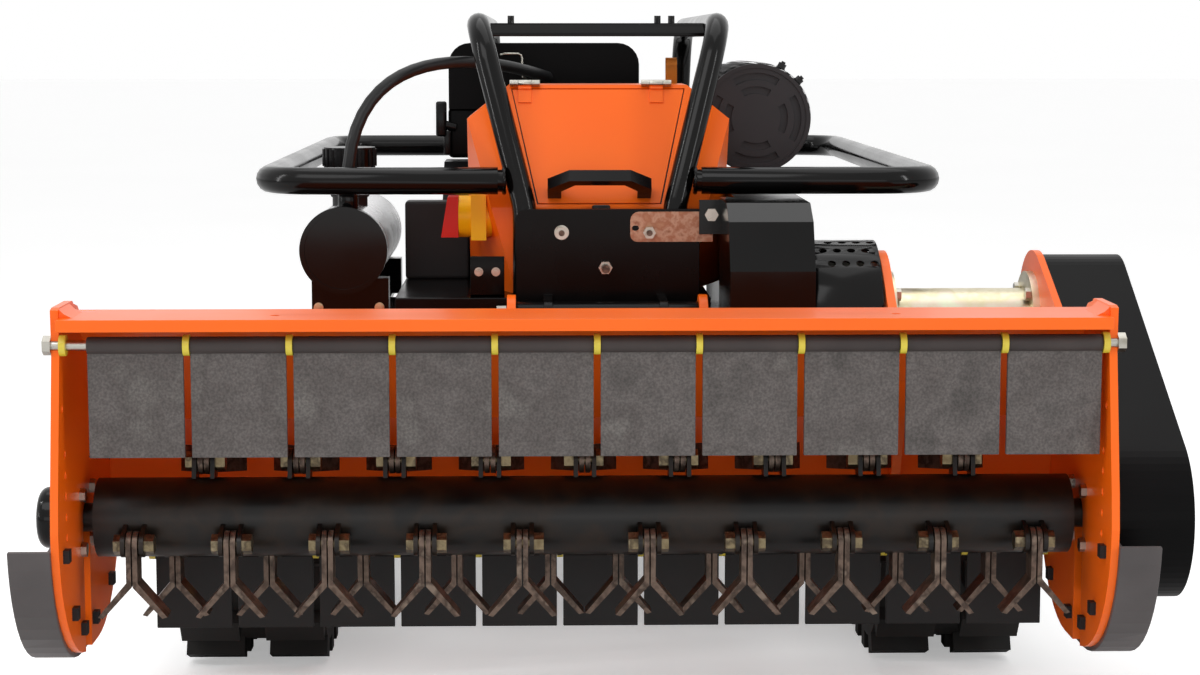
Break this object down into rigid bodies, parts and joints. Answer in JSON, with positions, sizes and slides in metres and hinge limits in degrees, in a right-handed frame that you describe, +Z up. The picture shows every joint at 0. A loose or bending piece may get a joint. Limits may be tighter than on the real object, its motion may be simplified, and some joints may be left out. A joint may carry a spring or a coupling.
{
  "type": "flail mower",
  "caption": "Remote-controlled crawler mower with a flail deck hinged in front, hanging rubber flaps, belt drive, hood, fuel tank and tubular guards.",
  "frame": {"origin": "on the ground, under the middle of the machine's outline", "axes": "+Z up, -Y towards the front with the flail deck, +X to the right seen from the front"},
  "size_m": [1.186, 1.5602, 0.767],
  "materials": {
    "orange_paint": "gloss",
    "black_paint": "satin",
    "black_plastic": "gloss",
    "rubber": "matte",
    "zinc": "satin",
    "bare_steel": "satin",
    "aluminium": "satin",
    "yellow_plastic": "gloss",
    "red_plastic": "gloss"
  },
  "bodies": {
    "chassis": {"chassis_frame": "black_paint", "front_plate": "black_paint", "guard_frame": "black_paint", "side_guard": "black_paint", "front_hood": "orange_paint", "control_box": "black_plastic", "isolator_base": "yellow_plastic", "fuel_tank": "aluminium", "tank_bracket": "black_paint", "fuel_hose": "rubber", "engine_block": "aluminium", "engine_cover": "black_plastic", "muffler": "black_paint", "belt_guard": "black_paint", "drive_belt": "rubber", "chassis_bolts": "zinc", "left_track": "rubber", "right_track": "rubber", "track_frames": "black_paint", "actuator_body": "black_paint"},
    "deck": {"deck_shell": "orange_paint", "left_side_plate": "orange_paint", "right_side_plate": "orange_paint", "skids": "black_paint", "skid_bolts": "black_paint", "shaft_bearings": "black_paint", "flap_rods": "zinc", "flap_spacers": "yellow_plastic", "shaft_housing": "zinc", "belt_cover": "black_plastic", "rotor_belt": "rubber", "deck_bolts": "zinc"},
    "rotor": {"rotor_tube": "bare_steel", "rotor_pulley": "zinc", "flail_bolts": "zinc"},
    "hood_door": {"hood_door": "orange_paint", "door_handle": "black_plastic"},
    "flails_front": {"flails_front": "bare_steel"},
    "flails_top": {"flails_top": "bare_steel"},
    "flails_rear": {"flails_rear": "bare_steel"},
    "drive_shaft": {"drive_shaft": "zinc"},
    "rear_flaps": {"rear_flaps": "rubber"},
    "isolator_knob": {"isolator_knob": "red_plastic"},
    "filler_cap": {"filler_cap": "black_plastic"},
    "left_sprocket": {"left_sprocket": "black_paint"},
    "right_sprocket": {"right_sprocket": "black_paint"},
    "left_idler": {"left_idler": "black_paint"},
    "right_idler": {"right_idler": "black_paint"},
    "actuator_rod": {"actuator_rod": "zinc"},
    "crank_pulley": {"crank_pulley": "zinc"},
    "front_flap_1": {"front_flap_1": "rubber"},
    "front_flap_2": {"front_flap_2": "rubber"},
    "front_flap_3": {"front_flap_3": "rubber"},
    "front_flap_4": {"front_flap_4": "rubber"},
    "front_flap_5": {"front_flap_5": "rubber"},
    "front_flap_6": {"front_flap_6": "rubber"},
    "front_flap_7": {"front_flap_7": "rubber"},
    "front_flap_8": {"front_flap_8": "rubber"},
    "front_flap_9": {"front_flap_9": "rubber"},
    "front_flap_10": {"front_flap_10": "rubber"}
  },
  "joints": [
    {"name": "deck_lift", "type": "hinge", "parent": "chassis", "child": "deck", "pos_m": [0, -0.356, 0.415], "axis": [-1, 0, 0], "range_deg": [-15, 25]},
    {"name": "rotor_spin", "type": "hinge", "parent": "deck", "child": "rotor", "pos_m": [0, -0.629, 0.242], "axis": [1, 0, 0], "continuous": true},
    {"name": "front_row_swing", "type": "hinge", "parent": "rotor", "child": "flails_front", "pos_m": [0, -0.68416, 0.22408], "axis": [1, 0, 0], "range_deg": [-157, 13]},
    {"name": "top_row_swing", "type": "hinge", "parent": "rotor", "child": "flails_top", "pos_m": [0, -0.61694, 0.29873], "axis": [1, 0, 0], "range_deg": [0, 170]},
    {"name": "rear_row_swing", "type": "hinge", "parent": "rotor", "child": "flails_rear", "pos_m": [0, -0.5859, 0.20319], "axis": [1, 0, 0], "range_deg": [-37, 133]},
    {"name": "shaft_spin", "type": "hinge", "parent": "deck", "child": "drive_shaft", "pos_m": [0, -0.356, 0.415], "axis": [1, 0, 0], "continuous": true},
    {"name": "crank_spin", "type": "hinge", "parent": "chassis", "child": "crank_pulley", "pos_m": [0.18, 0.106, 0.455], "axis": [1, 0, 0], "continuous": true},
    {"name": "flap_1_swing", "type": "hinge", "parent": "deck", "child": "front_flap_1", "pos_m": [-0.4685, -0.744, 0.436], "axis": [1, 0, 0], "range_deg": [-85, 2]},
    {"name": "flap_2_swing", "type": "hinge", "parent": "deck", "child": "front_flap_2", "pos_m": [-0.3675, -0.744, 0.436], "axis": [1, 0, 0], "range_deg": [-85, 2]},
    {"name": "flap_3_swing", "type": "hinge", "parent": "deck", "child": "front_flap_3", "pos_m": [-0.2665, -0.744, 0.436], "axis": [1, 0, 0], "range_deg": [-85, 2]},
    {"name": "flap_4_swing", "type": "hinge", "parent": "deck", "child": "front_flap_4", "pos_m": [-0.1655, -0.744, 0.436], "axis": [1, 0, 0], "range_deg": [-85, 2]},
    {"name": "flap_5_swing", "type": "hinge", "parent": "deck", "child": "front_flap_5", "pos_m": [-0.0645, -0.744, 0.436], "axis": [1, 0, 0], "range_deg": [-85, 2]},
    {"name": "flap_6_swing", "type": "hinge", "parent": "deck", "child": "front_flap_6", "pos_m": [0.0365, -0.744, 0.436], "axis": [1, 0, 0], "range_deg": [-85, 2]},
    {"name": "flap_7_swing", "type": "hinge", "parent": "deck", "child": "front_flap_7", "pos_m": [0.1375, -0.744, 0.436], "axis": [1, 0, 0], "range_deg": [-85, 2]},
    {"name": "flap_8_swing", "type": "hinge", "parent": "deck", "child": "front_flap_8", "pos_m": [0.2385, -0.744, 0.436], "axis": [1, 0, 0], "range_deg": [-85, 2]},
    {"name": "flap_9_swing", "type": "hinge", "parent": "deck", "child": "front_flap_9", "pos_m": [0.3395, -0.744, 0.436], "axis": [1, 0, 0], "range_deg": [-85, 2]},
    {"name": "flap_10_swing", "type": "hinge", "parent": "deck", "child": "front_flap_10", "pos_m": [0.4405, -0.744, 0.436], "axis": [1, 0, 0], "range_deg": [-85, 2]},
    {"name": "rear_flaps_swing", "type": "hinge", "parent": "deck", "child": "rear_flaps", "pos_m": [0, -0.474, 0.175], "axis": [1, 0, 0], "range_deg": [-50, 80]},
    {"name": "door_open", "type": "hinge", "parent": "chassis", "child": "hood_door", "pos_m": [0, -0.18803, 0.683], "axis": [-1, 0, 0], "range_deg": [0, 75]},
    {"name": "isolator_turn", "type": "hinge", "parent": "chassis", "child": "isolator_knob", "pos_m": [-0.17, -0.212, 0.525], "axis": [-1, 0, 0], "range_deg": [0, 90]},
    {"name": "cap_turn", "type": "hinge", "parent": "chassis", "child": "filler_cap", "pos_m": [-0.304, -0.122, 0.592], "axis": [0, 0, 1], "range_deg": [0, 90]},
    {"name": "left_drive", "type": "hinge", "parent": "chassis", "child": "left_sprocket", "pos_m": [-0.406, 0.57, 0.125], "axis": [1, 0, 0], "continuous": true},
    {"name": "right_drive", "type": "hinge", "parent": "chassis", "child": "right_sprocket", "pos_m": [0.406, 0.57, 0.125], "axis": [1, 0, 0], "continuous": true},
    {"name": "left_idler_spin", "type": "hinge", "parent": "chassis", "child": "left_idler", "pos_m": [-0.406, -0.25, 0.125], "axis": [1, 0, 0], "continuous": true},
    {"name": "right_idler_spin", "type": "hinge", "parent": "chassis", "child": "right_idler", "pos_m": [0.406, -0.25, 0.125], "axis": [1, 0, 0], "continuous": true},
    {"name": "actuator_slide", "type": "slide", "parent": "chassis", "child": "actuator_rod", "axis": [0, -1, 0], "range_m": [-0.036, 0.058]}
  ],
  "couplings": [
    {"joint": "shaft_spin", "follows": "rotor_spin", "ratio": 1},
    {"joint": "crank_spin", "follows": "rotor_spin", "ratio": 1},
    {"joint": "left_idler_spin", "follows": "left_drive", "ratio": 1},
    {"joint": "right_idler_spin", "follows": "right_drive", "ratio": 1},
    {"joint": "actuator_slide", "follows": "deck_lift", "m_per_rad": 0.128}
  ]
}
